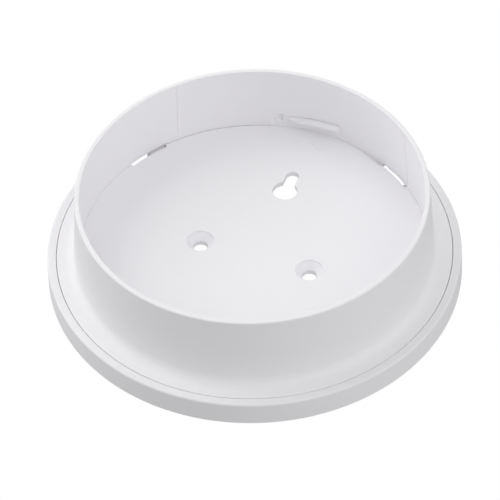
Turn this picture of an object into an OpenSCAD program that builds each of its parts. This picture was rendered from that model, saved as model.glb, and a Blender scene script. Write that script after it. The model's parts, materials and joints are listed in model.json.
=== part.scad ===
// Round mounting base of a smoke detector, lying on its back with the open side up.
// A flat plate is screwed to the ceiling, a cup turns and locks onto it, and a trim ring
// clips around the cup's flange. The detector itself twists into the cup.
//
// Origin: centre of the back face. +Z points out of the cup's mouth. +Y points to the
// plate's alignment mark. Turns are in degrees from +Y, counter-clockwise seen from +Z.

/* [Overall] */
// Outside diameter of the trim ring
base_d = 120; // [118:0.5:126]
// Height of the rim above the back face
rim_h = 30.8; // [24:0.2:40]
// Outside diameter of the cup at its rim
cup_d = 101; // [99:0.5:102]

/* [Cup] */
// Thickness of the cup's wall
wall_t = 1.45; // [1.2:0.05:1.8]
// Slope of the wall, in degrees
wall_draft = 3.7; // [2:0.1:4]
// Radius of the cove where the wall meets the flange
cove_r = 3; // [1.5:0.1:3.5]
// Height of the flange's top above the back face
flange_h = 7.4; // [7.2:0.1:8]
// Thickness of the flange
flange_t = 1.5; // [1.2:0.1:1.6]
// Radius of the flange's edge
flange_r = 57.15; // [57:0.05:57.4]

/* [Bayonet ribs] */
// How far a rib's arm stands in from the wall
rib_depth = 2.1; // [1.5:0.1:2.3]
// Height of a rib's arm
rib_t = 1.4; // [0.9:0.1:1.6]
// Height of the top of the arm's middle above the plate
rib_top = 5.3; // [5.2:0.1:9]
// Slope of the arm, in degrees, down towards its stop
rib_slope = 4.6; // [0:0.1:5]
// Turn of the stop
rib_start = 16.4; // [15.5:0.1:18]
// Turn of the arm's free end
rib_end = -9.2; // [-12:0.1:-6]
// Angular width of the stop
rib_stop = 1.3; // [1.2:0.1:2]

/* [Plate] */
// Height of the plate's face above the back face
plate_h = 7.35; // [7:0.05:7.6]
// Thickness of the plate
plate_t = 1.7; // [1.5:0.1:2.2]
// Gap between the plate's edge and the cup's wall
plate_gap = 0.1; // [0.1:0.05:0.3]
// Thickness of the ribs and walls on the plate's back
web_t = 1.2; // [1:0.1:1.6]

/* [Screw holes] */
// Distance between the two screw holes
hole_spacing = 33.8; // [30:0.1:40]
// Diameter of a screw hole
hole_d = 4.3; // [3.5:0.1:5]
// Diameter of a countersink
sink_d = 8; // [7.2:0.1:9]
// Depth of the straight step above a countersink
sink_step = 0.6; // [0.3:0.1:1.2]
// Depth from the plate's face to the end of a hole
hole_depth = 4; // [3.8:0.1:4.4]

/* [Keyhole] */
// Diameter of the keyhole's round end, for the screw's head
key_d = 7.3; // [6:0.1:8]
// Width of the keyhole's slot, for the screw's shank
key_slot = 3.8; // [3:0.1:4.5]
// Distance from the middle of the plate to the round end
key_y = 24.6; // [22:0.1:29]
// Distance between the centres of the round end and the slot's end
key_run = 6.2; // [4.5:0.1:7]

/* [Lock] */
// Turn that unlocks the cup from the plate
lock_turn = 8.5; // [7:0.5:10]
// Turn at which an edge slot begins
slot_start = 53.2; // [50:0.1:54]
// Angular width of a lock hook
hook_turn = 5.9; // [4:0.1:6]

/* [Trim ring] */
// Thickness of the ring's outer wall
ring_t = 1.5; // [1.2:0.1:1.6]
// Radius of the ring's rounded top edge
ring_edge_r = 0.6; // [0.3:0.1:1.4]
// Gap between the flange and the ring
ring_gap = 0.15; // [0.1:0.05:0.35]

/* [Hidden] */
$fn = 180;
PLASTIC = [0.93, 0.93, 0.94];

fit = 0.1;        // running clearance between pieces that turn on each other
stop_turn = 0.1;  // the same clearance at the ends of a slot, in degrees
bite = 0.2;       // how far a solid reaches into its neighbour, so that the two join
over = 1;         // how far a cut reaches past what it is taken from
rib_count = 3;    // bayonet ribs, evenly spaced
lock_turns = [0, 120, 225];  // hooks and their slots, spaced so that the cup fits one way only

base_r = base_d / 2;
cup_r = cup_d / 2;
rim_round = 0.5;
edge_round = 0.2;

plate_under = plate_h - plate_t;
flange_under = flange_h - flange_t;

// Radius of the wall's inside and outside at a height above the back face
function wall_in(z) = cup_r - wall_t + (rim_h - z) * tan(wall_draft);
function wall_out(z) = wall_in(z) + wall_t;

plate_r = wall_in(plate_h) - plate_gap;

// Bayonet ribs: the lean of an arm's front, the flat it runs out on, its stop, the groove
// along its top and the pocket at its end
rib_lean = 0.35;
flat_turn = -13.2;
flat_r = 45.6;
stop_depth = 0.25;
stop_round = 3;
arm_reach = 3;
groove_depth = 0.2;
groove_h = 0.25;
groove_lap = 0.4;
pocket_turn = 11.5;
pocket_depth = 0.7;
pocket_h = 2.7;

// Edge slots and hooks
slot_depth = 0.9;
slot_r = plate_r - slot_depth;
slot_end = slot_start + lock_turn + hook_turn + 2 * stop_turn;
hook_start = slot_start + stop_turn;
hook_r = slot_r + fit;
hook_top = plate_h - 0.9;
hook_foot = 0.6;
hook_back = wall_out(flange_under) + 0.3;
skirt_r = slot_r - 0.9;
lug_r = plate_r - fit;
lug_turn = 7.2;
lug_low = 2.3;
lug_high = 3.9;

// Two windows in the plate's edge, opposite each other, with a stop tab of the cup in each
window_count = 2;
window_start = -40.9;
window_turn = 13.5;
window_end = window_start + window_turn;
window_depth = 0.7;
window_lug_start = window_end - 1.1;
window_lug_turn = 3;
tab_turn = 2.2;
tab_low = flange_under - 1;
tab_top = plate_h - 1.2;

// The wall's foot is bevelled from here down over the slots and windows
notch_top = plate_h + 0.1;

// A wider gap between a slot and its rib, and a rebate beside each window
relief = 0.15;
rebate_turn = 13.5;
rebate_w = 1.2;
rebate_h = 0.8;

// Fine grooves up the cup's inside, left by the joints of the mould, a quarter turn apart
mould_line_count = 4;
mould_line_turn = 48.4;
mould_line_low = plate_h + 0.6;
mould_line_high = rim_h - 1;
mould_line_w = 0.35;
mould_line_depth = 0.2;

hole_x = 1.1;    // the screw holes' line sits a little off the middle
hole_y = -2.7;
pillar_r = 7;
pillar_bore_r = 5.6;
hub_r = 9;
hub_low = 0.6;
cross_turns = [30, 90, 150];
cross_low = 1;
mark_y = 47.3;
mark_leg = 5.2;
mark_w = 0.7;
mark_h = 0.3;

ring_in_r = flange_r + ring_gap;
ledge_r = flange_r - 2;
ledge_top = flange_under - fit / 2;
ledge_t = 1.5;
clip_count = 6;
clip_turn = 7;
clip_t = 1.2;
clip_foot = 2.2;
barb = 0.9;
tooth_turn = 1.2;
gusset_count = 24;
gusset_low = 1;

// An annular block between two turns
module arc_block(r_in, r_out, z_low, z_high, from, to) {
    rotate([0, 0, 90 + from])
        rotate_extrude(angle = to - from)
            translate([r_in, z_low]) square([r_out - r_in, z_high - z_low]);
}

// A full ring of square section
module ring_block(r_in, r_out, z_low, z_high) {
    rotate_extrude()
        translate([r_in, z_low]) square([r_out - r_in, z_high - z_low]);
}

// Copies around the axis, at the given turns
module at_turns(turns) {
    for (turn = turns) rotate([0, 0, turn]) children();
}

// Copies around the axis, evenly spaced
module around(count) {
    at_turns([for (i = [0 : count - 1]) i * 360 / count]) children();
}

// What a round of radius r removes from a corner at [r, r]
module corner(r) {
    difference() {
        square([r, r]);
        circle(r);
    }
}

// ---- Mounting plate ----

module screw_hole() {
    cone_h = (sink_d - hole_d) / 2;
    translate([0, 0, -over]) cylinder(d = hole_d, h = plate_h + over);
    translate([0, 0, plate_h - sink_step - cone_h])
        cylinder(d1 = hole_d, d2 = sink_d, h = cone_h);
    translate([0, 0, plate_h - sink_step]) cylinder(d = sink_d, h = sink_step + over);
    translate([0, 0, -over]) cylinder(r = pillar_bore_r, h = plate_h - hole_depth + over);
}

module at_holes() {
    for (side = [-1, 1]) translate([hole_x + side * hole_spacing / 2, hole_y, 0]) children();
}

module keyhole() {
    translate([0, key_y, 0]) {
        cylinder(d = key_d, h = plate_h + over);
        translate([-key_slot / 2, 0, 0]) cube([key_slot, key_run, plate_h + over]);
        translate([0, key_run, 0]) cylinder(d = key_slot, h = plate_h + over);
    }
}

// A raised caret that points to the place of a bayonet rib
module alignment_mark() {
    translate([0, mark_y, plate_h])
        for (side = [-1, 1])
            rotate([0, 0, side * 45 - 90])
                translate([0, -mark_w / 2, -mark_h]) cube([mark_leg, mark_w, 2 * mark_h]);
}

// Stiffening walls on the back: a skirt, a hub, three cross ribs and two screw pillars
module plate_back() {
    top = plate_under + bite;
    ring_block(skirt_r - web_t, skirt_r, 0, top);
    ring_block(hub_r - web_t, hub_r, hub_low, top);
    for (turn = cross_turns)
        rotate([0, 0, turn]) translate([-web_t / 2, web_t / 2 - skirt_r, cross_low])
            cube([web_t, 2 * skirt_r - web_t, top - cross_low]);
    at_holes() cylinder(r = pillar_r, h = top);
}

// What is cut from the plate's edge, down to a height, between two turns
module edge_cut(depth, low, from, to) {
    arc_block(plate_r - depth, plate_r + over, low, plate_h + over, from, to);
}

// A ledge on the skirt, from a turn on. The hooks grip theirs from below, and leave them
// when the cup is unlocked.
module lug(turn, angle) {
    arc_block(skirt_r - web_t / 2, lug_r, lug_low, lug_high, turn, turn + angle);
}

// What is cut from the plate's edge beside a window: a slope down to the wall
module rebate() {
    rotate([0, 0, 90 + window_end - stop_turn])
        rotate_extrude(angle = rebate_turn)
            polygon([
                [plate_r - rebate_w, plate_h + over],
                [plate_r - rebate_w, plate_h],
                [plate_r - rebate_w / 3, plate_h - rebate_h],
                [plate_r + over, plate_h - rebate_h],
                [plate_r + over, plate_h + over]
            ]);
}

module mounting_plate() {
    through = plate_under - over;
    color(PLASTIC) {
        difference() {
            union() {
                translate([0, 0, plate_under]) cylinder(r = plate_r, h = plate_t);
                plate_back();
                at_turns(lock_turns) lug(slot_start, lug_turn);
                around(window_count) lug(window_lug_start, window_lug_turn);
            }
            at_holes() screw_hole();
            keyhole();
            at_turns(lock_turns) {
                edge_cut(slot_depth, through, slot_start, slot_end);
                edge_cut(relief, through - bite, rib_start, slot_start + stop_turn);
            }
            around(window_count) {
                edge_cut(window_depth, through, window_start, window_end);
                rebate();
            }
        }
        alignment_mark();
    }
}

// ---- Cup sleeve ----

module cup_profile() {
    foot_in = wall_in(flange_under);
    foot_out = wall_out(flange_h);
    difference() {
        union() {
            polygon([
                [foot_in, flange_under],
                [wall_out(flange_under), flange_under],
                [cup_r, rim_h - rim_round],
                [cup_r, rim_h],
                [cup_r - wall_t, rim_h],
                [cup_r - wall_t, rim_h - rim_round]
            ]);
            translate([foot_in + bite, flange_under]) square([flange_r - foot_in - bite, flange_t]);
            translate([foot_out - wall_t / 2, flange_h - bite])
                square([wall_t / 2 + cove_r, cove_r + bite]);
        }
        translate([foot_out + cove_r - cove_r * tan(wall_draft), flange_h + cove_r]) circle(cove_r);
        translate([foot_out + cove_r - cove_r * tan(wall_draft), flange_h]) square([cove_r, 2 * cove_r]);
        translate([wall_out(flange_h + cove_r), flange_h + cove_r]) square(cove_r * 2);
        translate([cup_r - rim_round, rim_h - rim_round]) corner(rim_round);
        translate([cup_r - wall_t + edge_round, rim_h - edge_round]) mirror([1, 0]) corner(edge_round);
        translate([flange_r - edge_round, flange_h - edge_round]) corner(edge_round);
    }
}

// A slab that slopes like a rib's arm, between two heights from the arm's top
module ramp(low, high) {
    translate([0, 0, plate_h + rib_top])
        rotate([0, -rib_slope, 0])
            translate([-cup_r / 2, cup_r / 2, low]) cube([cup_r, cup_r, high - low]);
}

// A sloping arm that stands in from the wall over a detector's lug. Its front leans back
// downwards, and towards the stop it runs out into the wall along a flat.
module rib_arm() {
    middle = plate_h + rib_top;
    low = middle - arm_reach;
    high = middle + arm_reach;
    root = wall_in(middle) + 0.75 * wall_t;
    nose = wall_in(middle) - rib_depth;
    lean = arm_reach * rib_lean;
    difference() {
        intersection() {
            rotate([0, 0, 90 + rib_end])
                rotate_extrude(angle = rib_start - rib_stop - rib_end)
                    polygon([[nose + lean, low], [root, low], [root, high], [nose - lean, high]]);
            ramp(-rib_t, 0);
        }
        rotate([0, 0, flat_turn])
            translate([-base_r, flat_r - base_r, low - over])
                cube([base_d, base_r, high - low + 2 * over]);
    }
}

// The low upright stop at the end of an arm
module rib_stop() {
    wall_r = wall_in(plate_h);
    nose = wall_r - stop_depth;
    intersection() {
        arc_block(nose, wall_r + wall_t / 2, plate_h + 2 * fit, plate_h + rib_top,
            rib_start - rib_stop, rib_start);
        rotate([0, 0, rib_start - rib_stop / 2])
            translate([0, nose + stop_round, 0]) cylinder(r = stop_round, h = rim_h);
    }
}

// What is cut from the wall for a rib: a groove along the top of the arm, and a pocket
// between the arm and its stop
module rib_relief() {
    middle = plate_h + rib_top;
    inside = wall_in(rim_h) - over;
    intersection() {
        arc_block(inside, wall_in(middle) + groove_depth, plate_h, rim_h,
            rib_end + groove_lap, pocket_turn + groove_lap);
        ramp(-bite, groove_h);
    }
    arc_block(inside, wall_in(middle) + pocket_depth, middle - pocket_h, middle + bite,
        pocket_turn, rib_start - rib_stop + stop_turn);
}

// What is cut from the wall's foot between two turns, so that a slot below it shows
module foot_notch(from, to) {
    notch_in = wall_in(notch_top);
    notch_out = wall_out(flange_under) - fit / 2;
    rotate([0, 0, 90 + from])
        rotate_extrude(angle = to - from)
            polygon([
                [notch_in - over, flange_under - over],
                [notch_out, flange_under - over],
                [notch_out, flange_under],
                [notch_in, notch_top],
                [notch_in - over, notch_top]
            ]);
}

// A hook that fills part of a slot and grips under the plate's lug
module lock_hook() {
    difference() {
        arc_block(hook_r, hook_back, hook_foot, hook_top, hook_start, hook_start + hook_turn);
        arc_block(hook_r - over, lug_r + fit, lug_low - fit, lug_high + fit,
            hook_start - over, hook_start + hook_turn + over);
    }
}

// A tab at the end of a window, on the wall's foot
module stop_tab() {
    arc_block(hook_r + slot_depth - window_depth, hook_back, tab_low, tab_top,
        window_start + stop_turn, window_start + stop_turn + tab_turn);
}

// A spring clip under the flange that holds the trim ring
module ring_clip() {
    out_r = ledge_r - fit;
    half = clip_turn / 2;
    arc_block(out_r - clip_t, out_r, clip_foot, flange_under + bite, -half, half);
    arc_block(out_r - bite, out_r + barb, clip_foot, ledge_top - ledge_t - fit, -half, half);
}

// What a mould line takes from the wall, following its slope
module mould_line() {
    low = mould_line_low;
    high = mould_line_high;
    half_turn = mould_line_w / 2 / cup_r * 180 / PI;
    rotate([0, 0, 90 - half_turn])
        rotate_extrude(angle = 2 * half_turn)
            polygon([
                [wall_in(low) - over, low],
                [wall_in(low) + mould_line_depth, low],
                [wall_in(high) + mould_line_depth, high],
                [wall_in(high) - over, high]
            ]);
}

module cup_sleeve() {
    color(PLASTIC) {
        difference() {
            rotate_extrude() cup_profile();
            at_turns(lock_turns) foot_notch(slot_start, slot_end);
            around(window_count) foot_notch(window_start, window_end);
            around(mould_line_count) rotate([0, 0, mould_line_turn]) mould_line();
            around(rib_count) rib_relief();
        }
        around(rib_count) {
            rib_arm();
            rib_stop();
        }
        at_turns(lock_turns) lock_hook();
        around(window_count) stop_tab();
        around(clip_count) rotate([0, 0, 180 / clip_count]) ring_clip();
    }
}

// ---- Trim ring ----

module ring_profile() {
    foot_round = 0.3;
    taper = 0.2;
    difference() {
        union() {
            polygon([
                [base_r - ring_t, 0],
                [base_r, 0],
                [base_r, foot_round],
                [base_r - taper, flange_h - ring_edge_r],
                [base_r - taper, flange_h],
                [base_r - ring_t, flange_h]
            ]);
            translate([ring_in_r, ledge_top - ledge_t])
                square([base_r - ring_in_r - ring_t / 2, flange_h - ledge_top + ledge_t]);
            translate([ledge_r, ledge_top - ledge_t]) square([base_r - ledge_r - ring_t / 2, ledge_t]);
        }
        translate([base_r - taper - ring_edge_r, flange_h - ring_edge_r]) corner(ring_edge_r);
        translate([base_r - foot_round, foot_round]) mirror([0, 1]) corner(foot_round);
        translate([ring_in_r + edge_round, flange_h - edge_round]) mirror([1, 0]) corner(edge_round);
    }
}

module trim_ring() {
    clip_edge = clip_turn / 2 + 2 * stop_turn;
    gusset_in = ledge_r + web_t;
    color(PLASTIC) {
        rotate_extrude() ring_profile();
        // Pairs of teeth that hold each clip between them, so that the ring can't turn
        around(clip_count) rotate([0, 0, 180 / clip_count])
            for (side = [0, 1]) mirror([side, 0, 0])
                arc_block(ledge_r - clip_t, ledge_r + bite, ledge_top - ledge_t, ledge_top,
                    clip_edge, clip_edge + tooth_turn);
        // Small gussets between the ring's wall and its ledge
        around(gusset_count)
            translate([-web_t / 2, gusset_in, gusset_low])
                cube([web_t, base_r - ring_t / 2 - gusset_in, ledge_top - ledge_t + bite - gusset_low]);
    }
}

mounting_plate();
cup_sleeve();
trim_ring();
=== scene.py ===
"""Looks for a smoke detector's mounting base: three white plastic mouldings in soft studio light.

Lengths are in millimetres while a mesh is being made and in metres from then on. Turns are in
degrees from +Y, counter-clockwise seen from +Z, as in the CAD source.
"""

import json
import math

import bmesh
import bpy
from mathutils import Matrix, Vector


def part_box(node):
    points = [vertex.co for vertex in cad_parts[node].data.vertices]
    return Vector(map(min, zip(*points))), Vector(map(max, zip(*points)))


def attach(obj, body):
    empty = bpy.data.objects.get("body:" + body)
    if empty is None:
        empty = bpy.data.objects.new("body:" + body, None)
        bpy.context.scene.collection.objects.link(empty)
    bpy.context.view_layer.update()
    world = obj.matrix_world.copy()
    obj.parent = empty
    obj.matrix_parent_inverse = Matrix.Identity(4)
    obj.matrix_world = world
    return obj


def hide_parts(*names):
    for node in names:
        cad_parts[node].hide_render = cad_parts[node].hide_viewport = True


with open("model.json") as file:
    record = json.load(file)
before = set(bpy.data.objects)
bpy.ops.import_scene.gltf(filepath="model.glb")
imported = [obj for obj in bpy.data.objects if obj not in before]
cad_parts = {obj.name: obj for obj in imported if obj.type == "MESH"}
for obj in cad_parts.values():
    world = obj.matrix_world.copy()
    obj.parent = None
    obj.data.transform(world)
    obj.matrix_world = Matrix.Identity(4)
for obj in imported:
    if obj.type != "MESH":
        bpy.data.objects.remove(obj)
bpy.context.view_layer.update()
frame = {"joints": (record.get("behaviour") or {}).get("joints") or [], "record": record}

MM = 0.001

# Sizes that the frame gives
plate_low, plate_high = (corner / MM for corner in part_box("mounting_plate"))
cup_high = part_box("cup_sleeve")[1] / MM
ring_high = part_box("trim_ring")[1] / MM
mounts = {mount["name"]: mount for mount in frame["record"]["mounts"]}
lock_turn = frame["joints"][0]["range_deg"][1]

BASE_R = ring_high.x
FLANGE_H = ring_high.z
FLANGE_R = cup_high.x
RIM_H = cup_high.z
PLATE_R = -plate_low.x  # the edge is cut back on the +X side
SCREWS = Vector(mounts["ceiling_screws"]["pos_m"]) / MM
SCREW_SPACING = mounts["ceiling_screws"]["dims"]["spacing_x_mm"]
SCREW_R = mounts["ceiling_screws"]["dims"]["hole_r_mm"]
KEY_END = Vector(mounts["keyhole"]["pos_m"]) / MM
FACE_H = KEY_END.z
MARK_H = plate_high.z - FACE_H

FIT = 0.1        # running clearance between pieces that turn on each other
STOP_TURN = 0.1  # the same clearance at the ends of a slot, in degrees
BITE = 0.2       # how far a solid reaches into its neighbour, so that the two join
OVER = 1         # how far a cut reaches past what it is taken from

# Walls
WALL_T = 1.45
WALL_SLOPE = math.tan(math.radians(3.7))
CUP_R = 50.5
COVE_R = 3.0
FLANGE_UNDER = FLANGE_H - 1.5
PLATE_UNDER = FACE_H - 1.7
WEB_T = 1.2
RIM_ROUND = 0.5
EDGE_ROUND = 0.2
HOLE_ROUND = 0.12
PLATE_ROUND = 0.02
ROOT_SHARE = 0.75  # of the wall's thickness, that a rib's arm reaches into

# Holes in the plate, the caret and the walls on its back
SINK_R = 4.0
SINK_STEP = 0.6
KEY_R, KEY_SLOT_R, KEY_RUN = 3.65, 1.9, 6.2
MARK_LEG, MARK_W, MARK_TIP = 5.2, 0.7, 47.3
HUB_R, HUB_LOW = 9, 0.6
CROSS_TURNS, CROSS_LOW = (30, 90, 150), 1
PILLAR_R, PILLAR_BORE_R = 7, 5.6

# Bayonet ribs
RIB_COUNT = 3
RIB_DEPTH = 2.1
RIB_T = 1.4
RIB_TOP = 5.3
RIB_SLOPE = math.tan(math.radians(4.6))
RIB_START = 16.4
RIB_END = -9.2
RIB_STOP = 1.3
RIB_LEAN = 0.35
FLAT_TURN, FLAT_R = -13.2, 45.6
ARM_END = 13.4  # past this turn the flat has run into the wall
STOP_DEPTH, STOP_ROUND = 0.25, 3.0
GROOVE_START, GROOVE_END = RIB_END + 0.5, 11.9
GROOVE_DEPTH, GROOVE_H = 0.2, 0.25
POCKET_TURN, POCKET_DEPTH, POCKET_H = 11.5, 0.7, 2.7

# Hooks and edge slots
LOCK_TURNS = (0, 120, 225)
SLOT_START = 53.2
HOOK_TURN = 5.9
SLOT_DEPTH = 0.9
SLOT_R = PLATE_R - SLOT_DEPTH
SLOT_END = SLOT_START + lock_turn + HOOK_TURN + 2 * STOP_TURN
HOOK_START = SLOT_START + STOP_TURN
HOOK_R = SLOT_R + FIT
HOOK_FOOT = 0.6
HOOK_TOP = FACE_H - 0.9
HOOK_REACH = 0.3  # past the wall's outside
SKIRT_R = SLOT_R - 0.9
LUG_R = PLATE_R - FIT
LUG_TURN = 7.2
LUG_LOW, LUG_HIGH = 2.3, 3.9
WINDOW_COUNT = 2
WINDOW_START, WINDOW_END = -40.9, -27.4
WINDOW_LUG_START, WINDOW_LUG_TURN = WINDOW_END - 1.1, 3
TAB_TURN = 2.2
TAB_TOP = FACE_H - 1.2
RELIEF = 0.03  # drawn narrower than the CAD's
REBATE_TURN, REBATE_W, REBATE_H = 15.0, 1.4, 1.1  # drawn larger than the CAD's
WINDOW_DEPTH = 0.7
NOTCH_TOP = FACE_H + 0.1
PLATE_EDGE = PLATE_R + 0.09  # drawn closer to the wall than the CAD's clearance
MOULD_LINE_COUNT = 4
MOULD_LINE_TURN, MOULD_LINE_W, MOULD_LINE_DEPTH = 48.4, 0.4, 0.2
MOULD_LINE_LOW, MOULD_LINE_FULL = FACE_H + 0.6, FACE_H + 0.9

# Trim ring
RING_T = 1.5
RING_GAP = 0.15
RING_EDGE_R = 0.6
FOOT_ROUND = 0.3
LEDGE_R = FLANGE_R - 2
LEDGE_TOP = FLANGE_UNDER - FIT / 2
LEDGE_T = 1.5
CLIP_COUNT = 6
CLIP_OFFSET = 30
CLIP_TURN = 7
CLIP_FOOT = 2.2
BARB, BARB_TIP, BARB_RISE = 0.9, 0.5, 0.6
TOOTH_TURN = 1.2
GUSSET_COUNT, GUSSET_LOW = 24, 1
RING_TAPER = 0.2

# Camera, fitted to the photograph
VIEW_TURN = 23.1        # degrees round the object
VIEW_RISE = 47.0        # degrees above the horizon
VIEW_ROLL = 2.255       # degrees clockwise
VIEW_DISTANCE = 0.8717  # from the origin
VIEW_LENS = 216         # mm on a 36 mm sensor
VIEW_SHIFT = (-0.01004, 0.03004)


# ---- Mesh tools ----

def wall_in(z):
    """Radius of the wall's inside at a height."""
    return CUP_R - WALL_T + (RIM_H - z) * WALL_SLOPE


def wall_out(z):
    return wall_in(z) + WALL_T


def arc(centre, radius, start, end, steps=6):
    """Points along an arc, from one angle to another in degrees."""
    angles = [math.radians(start + (end - start) * i / steps) for i in range(steps + 1)]
    return [(centre[0] + radius * math.cos(a), centre[1] + radius * math.sin(a)) for a in angles]


def span(start, end, step):
    """Even values from start to end, about a step apart, both ends included."""
    count = max(1, math.ceil(abs(end - start) / step - 1e-6))
    return [start + (end - start) * i / count for i in range(count + 1)]


def even_turns(count, offset=0):
    return [offset + i * 360 / count for i in range(count)]


def at_turn(radius, turn, height):
    angle = math.radians(turn)
    return Vector((-math.sin(angle) * radius, math.cos(angle) * radius, height))


def finish_mesh(name, bm):
    bmesh.ops.remove_doubles(bm, verts=bm.verts, dist=1e-5)
    bmesh.ops.recalc_face_normals(bm, faces=bm.faces)
    bmesh.ops.scale(bm, vec=(MM, MM, MM), verts=bm.verts)
    mesh = bpy.data.meshes.new(name)
    bm.to_mesh(mesh)
    bm.free()
    obj = bpy.data.objects.new(name, mesh)
    bpy.context.scene.collection.objects.link(obj)
    return obj


def loft(name, rings, closed):
    """A closed solid through rings of points. It either runs round to its first ring or is capped."""
    bm = bmesh.new()
    rows = [[bm.verts.new(point) for point in ring] for ring in rings]
    count = len(rows[0])
    pairs = list(zip(rows, rows[1:] + rows[:1])) if closed else list(zip(rows, rows[1:]))
    for row, following in pairs:
        for i in range(count):
            j = (i + 1) % count
            bm.faces.new((row[i], row[j], following[j], following[i]))
    if not closed:
        bm.faces.new(rows[0])
        bm.faces.new(rows[-1])
    return finish_mesh(name, bm)


def spin(name, profile, turns=None, centre=(0, 0), shape=None):
    """A profile of (radius, height) points turned about an upright axis, all the way round by default."""
    closed = turns is None or abs(turns[-1] - turns[0] - 360) < 1e-6
    turns = turns or even_turns(240)
    if closed and turns[-1] - turns[0] > 359.999:
        turns = turns[:-1]
    offset = Vector((centre[0], centre[1], 0))
    rings = []
    for turn in turns:
        radii = [shape(r, z, turn) if shape else r for r, z in profile]
        rings.append([offset + at_turn(r, turn, z) for r, (_, z) in zip(radii, profile)])
    return loft(name, rings, closed)


def arc_block(r_in, r_out, low, high, start, end):
    """An annular block between two turns."""
    profile = [(r_in, low), (r_out, low), (r_out, high), (r_in, high)]
    return spin("block", profile, span(start, end, 1))


def ring_block(r_in, r_out, low, high):
    return spin("block", [(r_in, low), (r_out, low), (r_out, high), (r_in, high)])


def upright(name, outline, low, high, centre, turn):
    """A prism on an outline about a point, turned in plan."""
    place = Matrix.Translation((centre[0], centre[1], 0)) @ Matrix.Rotation(math.radians(turn), 4, "Z")
    rings = [[place @ Vector((x, y, z)) for x, y in outline] for z in (low, high)]
    return loft(name, rings, closed=False)


def slab(x_size, y_size, low, high, centre, turn=0):
    half_x, half_y = x_size / 2, y_size / 2
    corners = [(-half_x, -half_y), (half_x, -half_y), (half_x, half_y), (-half_x, half_y)]
    return upright("slab", corners, low, high, centre, turn)


def combine(body, tools, operation):
    """Unites the tools with the body, or cuts them from it, and keeps the result as its mesh."""
    for tool in tools:
        modifier = body.modifiers.new("combine", "BOOLEAN")
        modifier.operation = operation
        modifier.solver = "MANIFOLD"
        modifier.object = tool
    graph = bpy.context.evaluated_depsgraph_get()
    mesh = bpy.data.meshes.new_from_object(body.evaluated_get(graph))
    body.modifiers.clear()
    body.data = mesh
    for tool in tools:
        bpy.data.objects.remove(tool)


def moulded(obj, node, body, material):
    """The last touches to a piece: smooth rounds, its finish and its place in the frame."""
    obj.data.shade_smooth()
    obj.data.set_sharp_from_angle(angle=math.radians(35))
    modifier = obj.modifiers.new("flat_faces", "WEIGHTED_NORMAL")
    modifier.keep_sharp = True
    obj.data.materials.clear()
    obj.data.materials.append(material)
    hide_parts(node)
    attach(obj, body)


# ---- Mounting plate ----

def screw_cutter(x, y):
    """What a countersunk screw hole takes from the plate."""
    sink_low = FACE_H - SINK_STEP
    profile = [(0, -OVER), (SCREW_R, -OVER), (SCREW_R, sink_low - (SINK_R - SCREW_R)), (SINK_R, sink_low)]
    profile += arc((SINK_R + HOLE_ROUND, FACE_H - HOLE_ROUND), HOLE_ROUND, 180, 90, 4)
    profile += [(SINK_R + HOLE_ROUND, FACE_H + OVER), (0, FACE_H + OVER)]
    return spin("screw_cutter", profile, even_turns(64) + [360], (x, y))


def keyhole_cutter():
    """What the keyhole takes from the plate, with a soft edge."""
    meet = math.degrees(math.asin(KEY_SLOT_R / KEY_R))
    levels = [(PLATE_UNDER - OVER, 0), (FACE_H - HOLE_ROUND, 0)]
    levels += [(FACE_H, HOLE_ROUND), (FACE_H + OVER, HOLE_ROUND)]
    rings = []
    for z, grow in levels:
        outline = arc((KEY_END.x, KEY_END.y - KEY_RUN), KEY_R + grow, 90 + meet, 450 - meet, 36)
        outline += arc((KEY_END.x, KEY_END.y), KEY_SLOT_R + grow, 0, 180, 16)
        rings.append([Vector((x, y, z)) for x, y in outline])
    return loft("keyhole_cutter", rings, closed=False)


def edge_cutter(depth, low, start, end):
    return arc_block(PLATE_R - depth, PLATE_R + OVER, low, FACE_H + OVER, start, end)


def rebate_cutter(start):
    """A sloping rebate along the plate's edge that is deepest at a window and runs out away from it."""
    out_r, high = PLATE_R + OVER, FACE_H + OVER
    rings = []
    for off in span(0, REBATE_TURN, 1):
        share = max(0.02, 1 - off / REBATE_TURN)
        inner, low = PLATE_R - REBATE_W * math.sqrt(share), FACE_H - REBATE_H * share
        corner_r = (inner + 2 * PLATE_R) / 3
        section = [(inner, FACE_H), (corner_r, low), (out_r, low), (out_r, high), (inner, high)]
        rings.append([at_turn(r, start + off - STOP_TURN, z) for r, z in section])
    return loft("rebate_cutter", rings, closed=False)


def alignment_mark():
    """The two legs of a raised caret."""
    reach = (MARK_LEG - MARK_W) / 2 * math.sqrt(0.5)
    low, high = FACE_H - MARK_H, FACE_H + MARK_H
    return [slab(MARK_W, MARK_LEG, low, high, (side * reach, MARK_TIP - reach), side * 45)
            for side in (-1, 1)]


def lug(turn, angle):
    """A ledge on the skirt, under a slot or the end of a window."""
    return arc_block(SKIRT_R - WEB_T / 2, LUG_R, LUG_LOW, LUG_HIGH, turn, turn + angle)


def plate_back(sides):
    """Stiffening walls on the back: a skirt, a hub, cross ribs and a pillar behind each screw hole."""
    top = PLATE_UNDER + BITE
    pillar = [(0, 0), (PILLAR_R, 0), (PILLAR_R, top), (0, top)]
    walls = [ring_block(SKIRT_R - WEB_T, SKIRT_R, 0, top), ring_block(HUB_R - WEB_T, HUB_R, HUB_LOW, top)]
    walls += [slab(WEB_T, 2 * SKIRT_R - WEB_T, CROSS_LOW, top, (0, 0), turn) for turn in CROSS_TURNS]
    return walls + [spin("pillar", pillar, None, (x, SCREWS.y)) for x in sides]


def plate_lugs():
    lugs = [lug(turn + SLOT_START, LUG_TURN) for turn in LOCK_TURNS]
    return lugs + [lug(turn + WINDOW_LUG_START, WINDOW_LUG_TURN) for turn in even_turns(WINDOW_COUNT)]


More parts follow.
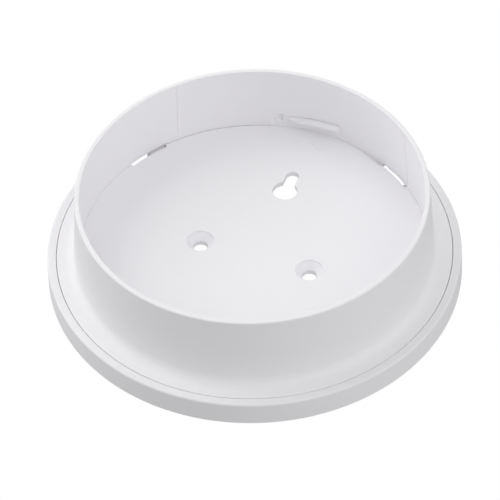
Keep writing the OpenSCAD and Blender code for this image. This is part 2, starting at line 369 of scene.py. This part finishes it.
def plate_cuts(sides):
    """The screw holes, the keyhole and everything that is cut from the plate's edge."""
    bore = [(0, -OVER), (PILLAR_BORE_R, -OVER), (PILLAR_BORE_R, SCREWS.z), (0, SCREWS.z)]
    through = PLATE_UNDER - OVER
    cut = [spin("bore", bore, None, (x, SCREWS.y)) for x in sides]
    cut += [screw_cutter(x, SCREWS.y) for x in sides]
    cut.append(keyhole_cutter())
    for turn in LOCK_TURNS:
        cut.append(edge_cutter(SLOT_DEPTH, through, turn + SLOT_START, turn + SLOT_END))
        cut.append(edge_cutter(RELIEF, through, turn + RIB_START, turn + SLOT_START + STOP_TURN))
    for turn in even_turns(WINDOW_COUNT):
        end = turn + WINDOW_END
        cut.append(edge_cutter(WINDOW_DEPTH, through, turn + WINDOW_START, end))
        cut.append(rebate_cutter(end))
    return cut


def mounting_plate(material):
    sides = [SCREWS.x - SCREW_SPACING / 2, SCREWS.x + SCREW_SPACING / 2]
    profile = [(0, PLATE_UNDER), (PLATE_EDGE, PLATE_UNDER)]
    profile += arc((PLATE_EDGE - PLATE_ROUND, FACE_H - PLATE_ROUND), PLATE_ROUND, 0, 90, 3)
    profile += [(0, FACE_H)]
    plate = spin("plate", profile)
    combine(plate, plate_back(sides) + plate_lugs() + alignment_mark(), "UNION")
    combine(plate, plate_cuts(sides), "DIFFERENCE")
    moulded(plate, "mounting_plate", "plate", material)


# ---- Cup sleeve ----

def smooth(value, low, high):
    share = min(1.0, max(0.0, (value - low) / (high - low)))
    return share * share * (3 - 2 * share)


def mould_line_depth(z, turn):
    """The fine grooves left by the joints of the mould, a quarter turn apart."""
    half_turn = math.degrees(MOULD_LINE_W / 2 / CUP_R)
    spacing = 360 / MOULD_LINE_COUNT
    off = abs((turn - MOULD_LINE_TURN + spacing / 2) % spacing - spacing / 2)
    across = 1 - smooth(off, half_turn * 0.6, half_turn * 1.2)
    return MOULD_LINE_DEPTH * across * smooth(z, MOULD_LINE_LOW, MOULD_LINE_FULL)


def cup_turns():
    """The turns of the cup's columns: close together at the mould lines."""
    turns, half = [], 0.3
    for line in even_turns(MOULD_LINE_COUNT, MOULD_LINE_TURN):
        turns += span(line - half, line + half, 0.05)[:-1]
        turns += span(line + half, line + 360 / MOULD_LINE_COUNT - half, 1.2)[:-1]
    return turns + [turns[0] + 360]


def cup_profile():
    """The cup's section: up the inside, over the rim and down to the flange."""
    heights = [FLANGE_UNDER, FACE_H] + span(MOULD_LINE_LOW, MOULD_LINE_FULL, 0.1)
    heights += span(MOULD_LINE_FULL, RIM_H - EDGE_ROUND, 2)[1:-1]
    foot = wall_out(FLANGE_H)
    cove = (foot + COVE_R * (1 - WALL_SLOPE), FLANGE_H + COVE_R)
    inside = [(wall_in(z), z) for z in heights]
    rim = arc((CUP_R - WALL_T + EDGE_ROUND, RIM_H - EDGE_ROUND), EDGE_ROUND, 180, 90, 4)
    rim += arc((CUP_R - RIM_ROUND, RIM_H - RIM_ROUND), RIM_ROUND, 90, 0, 6)
    outside = [(wall_out(z), z) for z in span(RIM_H - 2, cove[1] + 1, 3)]
    outside += arc(cove, COVE_R, 180 - math.degrees(math.atan(WALL_SLOPE)), 270, 10)
    edge = arc((FLANGE_R - EDGE_ROUND, FLANGE_H - EDGE_ROUND), EDGE_ROUND, 90, 0, 4)
    return inside + rim + outside + edge + [(FLANGE_R, FLANGE_UNDER)]


def arm_top(off):
    """Height of the top of a rib's sloping arm at a turn from the rib."""
    middle = FACE_H + RIB_TOP
    return middle - RIB_SLOPE * wall_in(middle) * math.sin(math.radians(off))


def rib_arm(turn):
    """An arm over a detector's lug: its front leans back, and it runs out along a flat towards the stop."""
    rings = []
    for off in span(RIB_END, ARM_END, 0.6):
        top = arm_top(off)
        low = top - RIB_T
        flat = FLAT_R / math.cos(math.radians(off - FLAT_TURN))
        nose = max(wall_in(top) - RIB_DEPTH, flat)
        root = wall_in(top) + WALL_T * ROOT_SHARE
        section = [(nose + RIB_T * RIB_LEAN, low), (root, low), (root, top)]
        section += arc((nose + EDGE_ROUND, top - EDGE_ROUND), EDGE_ROUND, 90, 180, 4)
        rings.append([at_turn(r, turn + off, z) for r, z in section])
    return loft("arm", rings, closed=False)


def rib_stop(turn):
    """The low upright stop at the end of an arm."""
    face = wall_in(FACE_H) - STOP_DEPTH
    half = math.radians(RIB_STOP / 2) * face
    lean = math.degrees(math.asin(half / STOP_ROUND))
    outline = arc((0, face + STOP_ROUND), STOP_ROUND, 270 - lean, 270 + lean, 6)
    root = wall_in(FACE_H) + WALL_T / 2
    outline += [(half, root), (-half, root)]
    middle = turn + RIB_START - RIB_STOP / 2
    return upright("stop", outline, FACE_H + 2 * FIT, FACE_H + RIB_TOP, (0, 0), middle)


def rib_relief(turn):
    """What is cut from the wall for a rib: a groove along the arm's top and a pocket before the stop."""
    middle = FACE_H + RIB_TOP
    outer = wall_in(middle)
    in_r, out_r = outer - OVER, outer + GROOVE_DEPTH
    rings = []
    for off in span(GROOVE_START, GROOVE_END, 1):
        low, high = arm_top(off) - BITE, arm_top(off) + GROOVE_H
        section = [(in_r, low), (out_r, low), (out_r, high), (in_r, high)]
        rings.append([at_turn(r, turn + off, z) for r, z in section])
    pocket = arc_block(in_r, outer + POCKET_DEPTH, middle - POCKET_H, middle + BITE,
                       turn + POCKET_TURN, turn + RIB_START - RIB_STOP + STOP_TURN)
    return [loft("groove", rings, closed=False), pocket]


def foot_notch(start, end):
    """What is cut from the wall's foot so that a slot below it shows."""
    inner, outer = wall_in(NOTCH_TOP), wall_out(FLANGE_UNDER) - FIT / 2
    air, low = inner - OVER, FLANGE_UNDER - OVER
    profile = [(air, low), (outer, low), (outer, FLANGE_UNDER), (inner, NOTCH_TOP), (air, NOTCH_TOP)]
    return spin("notch", profile, span(start, end, 1))


def lock_hook(turn):
    """A hook that fills part of a slot and grips under the plate's lug."""
    start, end = turn + HOOK_START, turn + HOOK_START + HOOK_TURN
    out_r, grip_r = wall_out(FLANGE_UNDER) + HOOK_REACH, LUG_R + FIT
    grip_low, grip_high = LUG_LOW - FIT, LUG_HIGH + FIT
    profile = [(grip_r, HOOK_FOOT), (out_r, HOOK_FOOT), (out_r, HOOK_TOP), (HOOK_R, HOOK_TOP)]
    profile += [(HOOK_R, grip_high), (grip_r, grip_high), (grip_r, grip_low), (HOOK_R, grip_low)]
    profile += [(HOOK_R, HOOK_FOOT)]
    return spin("hook", profile, span(start, end, 1))


def stop_tab(turn):
    """A tab on the wall's foot at the end of a window."""
    start = turn + WINDOW_START + STOP_TURN
    in_r, out_r = PLATE_R - WINDOW_DEPTH + FIT, wall_out(FLANGE_UNDER) + HOOK_REACH
    return arc_block(in_r, out_r, FLANGE_UNDER - 1, TAB_TOP, start, start + TAB_TURN)


def ring_clip(turn):
    """A spring clip under the flange that holds the trim ring."""
    out_r = LEDGE_R - FIT
    in_r, tip_r = out_r - WEB_T, out_r + BARB
    high, barb_high = FLANGE_UNDER + BITE, LEDGE_TOP - LEDGE_T - FIT
    profile = [(in_r, CLIP_FOOT), (out_r + BARB_TIP, CLIP_FOOT), (tip_r, CLIP_FOOT + BARB_RISE)]
    profile += [(tip_r, barb_high), (out_r, barb_high), (out_r, high), (in_r, high)]
    return spin("clip", profile, span(turn - CLIP_TURN / 2, turn + CLIP_TURN / 2, 1))


def cup_sleeve(material):
    inner_limit = wall_in(FLANGE_UNDER) + 0.01

    def shape(r, z, turn):
        on_wall = r < inner_limit and abs(r - wall_in(z)) < 1e-6
        return r + mould_line_depth(z, turn) if on_wall else r

    cup = spin("cup", cup_profile(), cup_turns(), (0, 0), shape)
    cut = [foot_notch(turn + SLOT_START, turn + SLOT_END) for turn in LOCK_TURNS]
    cut += [foot_notch(turn + WINDOW_START, turn + WINDOW_END) for turn in even_turns(WINDOW_COUNT)]
    cut += [tool for turn in even_turns(RIB_COUNT) for tool in rib_relief(turn)]
    combine(cup, cut, "DIFFERENCE")
    added = [lock_hook(turn) for turn in LOCK_TURNS]
    added += [make(turn) for turn in even_turns(RIB_COUNT) for make in (rib_arm, rib_stop)]
    added += [stop_tab(turn) for turn in even_turns(WINDOW_COUNT)]
    added += [ring_clip(turn) for turn in even_turns(CLIP_COUNT, CLIP_OFFSET)]
    combine(cup, added, "UNION")
    moulded(cup, "cup_sleeve", "cup", material)


# ---- Trim ring ----

def ring_teeth(low):
    """Pairs of teeth that hold each clip between them."""
    edge = CLIP_TURN / 2 + 2 * STOP_TURN
    return [arc_block(LEDGE_R - WEB_T, LEDGE_R + BITE, low, LEDGE_TOP, start, start + TOOTH_TURN)
            for turn in even_turns(CLIP_COUNT, CLIP_OFFSET)
            for start in (turn - edge - TOOTH_TURN, turn + edge)]


def ring_gussets(ledge_low):
    """Small gussets between the ring's wall and its ledge."""
    length = BASE_R - RING_T / 2 - LEDGE_R - WEB_T
    middle = LEDGE_R + WEB_T + length / 2
    return [slab(WEB_T, length, GUSSET_LOW, ledge_low + BITE / 2, at_turn(middle, turn, 0), turn)
            for turn in even_turns(GUSSET_COUNT)]


def trim_ring(material):
    top_r = BASE_R - RING_TAPER
    in_r = FLANGE_R + RING_GAP
    ledge_low = LEDGE_TOP - LEDGE_T
    profile = [(BASE_R - RING_T, 0)]
    profile += arc((BASE_R - FOOT_ROUND, FOOT_ROUND), FOOT_ROUND, 270, 360, 5)
    profile += arc((top_r - RING_EDGE_R, FLANGE_H - RING_EDGE_R), RING_EDGE_R, 0, 90, 8)
    profile += arc((in_r + EDGE_ROUND, FLANGE_H - EDGE_ROUND), EDGE_ROUND, 90, 180, 4)
    profile += [(in_r, LEDGE_TOP), (LEDGE_R, LEDGE_TOP), (LEDGE_R, ledge_low), (BASE_R - RING_T, ledge_low)]
    ring = spin("ring", profile, even_turns(300) + [360])
    combine(ring, ring_teeth(ledge_low) + ring_gussets(ledge_low), "UNION")
    moulded(ring, "trim_ring", "cup", material)


# ---- Finish ----

def plastic(name, seed, white):
    """White moulded ABS: a fine grain, slightly uneven gloss and a little light under the skin. Its colour
    is scaled by a per-piece brightness that is painted light and shade.
    """
    material = bpy.data.materials.new(name)
    material.use_nodes = True
    nodes, links = material.node_tree.nodes, material.node_tree.links
    shader = nodes["Principled BSDF"]
    place = nodes.new("ShaderNodeTexCoord")

    def noise(scale, detail):
        texture = nodes.new("ShaderNodeTexNoise")
        texture.noise_dimensions = "4D"
        texture.inputs["W"].default_value = seed
        texture.inputs["Scale"].default_value = scale
        texture.inputs["Detail"].default_value = detail
        links.new(place.outputs["Object"], texture.inputs["Vector"])
        return texture.outputs["Fac"]

    def ramp(source, low, high):
        mapping = nodes.new("ShaderNodeMapRange")
        mapping.inputs["To Min"].default_value = low
        mapping.inputs["To Max"].default_value = high
        links.new(source, mapping.inputs["Value"])
        return mapping.outputs["Result"]

    tint = nodes.new("ShaderNodeMix")
    tint.data_type = "RGBA"
    # The brightness factor scaling both tones is painted light and shade, set per piece.
    tint.inputs["A"].default_value = (0.914 * white, 0.907 * white, 0.930 * white, 1)
    tint.inputs["B"].default_value = (0.930 * white, 0.923 * white, 0.945 * white, 1)
    links.new(noise(18, 3), tint.inputs["Factor"])
    links.new(tint.outputs["Result"], shader.inputs["Base Color"])
    links.new(ramp(noise(350, 2), 0.42, 0.55), shader.inputs["Roughness"])
    bump = nodes.new("ShaderNodeBump")
    bump.inputs["Strength"].default_value = 0.25
    bump.inputs["Distance"].default_value = 0.02 * MM
    links.new(noise(2600, 2), bump.inputs["Height"])
    links.new(bump.outputs["Normal"], shader.inputs["Normal"])
    shader.inputs["Specular IOR Level"].default_value = 0.35
    shader.inputs["Subsurface Weight"].default_value = 0.12
    shader.inputs["Subsurface Radius"].default_value = (1.0, 0.9, 0.85)
    shader.inputs["Subsurface Scale"].default_value = 0.6 * MM
    return material


# ---- Studio ----

def direction(azimuth, elevation):
    """Unit vector from the object towards an azimuth round it and an elevation above the floor."""
    turn, rise = math.radians(azimuth), math.radians(elevation)
    return Vector((math.sin(turn) * math.cos(rise), -math.cos(turn) * math.cos(rise), math.sin(rise)))


def camera():
    data = bpy.data.cameras.new("camera")
    data.lens = VIEW_LENS
    data.sensor_width = 36
    data.shift_x, data.shift_y = VIEW_SHIFT
    data.clip_end = 10
    obj = bpy.data.objects.new("camera", data)
    bpy.context.scene.collection.objects.link(obj)
    back = direction(VIEW_TURN, VIEW_RISE)
    aim = (-back).to_track_quat("-Z", "Y").to_matrix().to_4x4()
    roll = Matrix.Rotation(-math.radians(VIEW_ROLL), 4, "Z")
    obj.matrix_world = Matrix.Translation(back * VIEW_DISTANCE) @ aim @ roll
    bpy.context.scene.camera = obj


def softbox(name, azimuth, elevation, size, power, distance=0.9):
    """A square area light aimed at the object. Its azimuth is counted from the camera's."""
    data = bpy.data.lights.new(name, "AREA")
    data.size = size
    data.energy = power
    obj = bpy.data.objects.new(name, data)
    bpy.context.scene.collection.objects.link(obj)
    away = direction(VIEW_TURN + azimuth, elevation)
    obj.location = away * distance
    obj.rotation_euler = (-away).to_track_quat("-Z", "Y").to_euler()


def white_floor():
    """A wide sheet just under the object. Its face points down: from above it is clear, so that the white
    surround shows through it, and from below it is pure white and hides the object."""
    bm = bmesh.new()
    bmesh.ops.create_grid(bm, x_segments=8, y_segments=8, size=2000)
    bmesh.ops.translate(bm, verts=bm.verts, vec=(0, 0, -0.05))
    floor = finish_mesh("floor", bm)
    material = bpy.data.materials.new("white_floor")
    material.use_nodes = True
    nodes, links = material.node_tree.nodes, material.node_tree.links
    nodes.clear()
    face, side = nodes.new("ShaderNodeNewGeometry"), nodes.new("ShaderNodeMixShader")
    white, clear = nodes.new("ShaderNodeEmission"), nodes.new("ShaderNodeBsdfTransparent")
    out = nodes.new("ShaderNodeOutputMaterial")
    links.new(face.outputs["Backfacing"], side.inputs["Fac"])
    links.new(white.outputs["Emission"], side.inputs[1])
    links.new(clear.outputs["BSDF"], side.inputs[2])
    links.new(side.outputs["Shader"], out.inputs["Surface"])
    floor.data.materials.append(material)


def white_world(strength):
    """A white surround: full white to the camera, and a soft fill of the given strength to the object."""
    world = bpy.data.worlds.new("studio")
    bpy.context.scene.world = world
    world.use_nodes = True
    nodes, links = world.node_tree.nodes, world.node_tree.links
    surround = nodes["Background"]
    surround.inputs["Color"].default_value = (1, 1, 1, 1)
    path, level = nodes.new("ShaderNodeLightPath"), nodes.new("ShaderNodeMapRange")
    level.inputs["To Min"].default_value = strength
    links.new(path.outputs["Is Camera Ray"], level.inputs["Value"])
    links.new(level.outputs["Result"], surround.inputs["Strength"])


# One plastic in three copies: the plate's is painted lighter and the trim ring's darker than the cup's,
# standing in for the light and shade each piece gets.
mounting_plate(plastic("plate_white", 1.0, 1.02))
cup_sleeve(plastic("cup_white", 2.0, 1.01))
trim_ring(plastic("ring_white", 3.0, 0.985))
camera()
white_floor()
white_world(0.465)
softbox("left_box", -110, 15, 0.6, 2.12)
softbox("left_top_box", -110, 50, 0.6, 1.14)
softbox("front_top_box", 30, 50, 0.6, 1.40)
softbox("back_top_box", -150, 50, 0.6, 1.05)
softbox("back_box", 180, 15, 0.6, 0.98)
softbox("right_box", 70, 15, 0.6, 0.76)
softbox("right_top_box", 70, 50, 0.6, 0.42)
bpy.context.scene.view_settings.view_transform = "Standard"
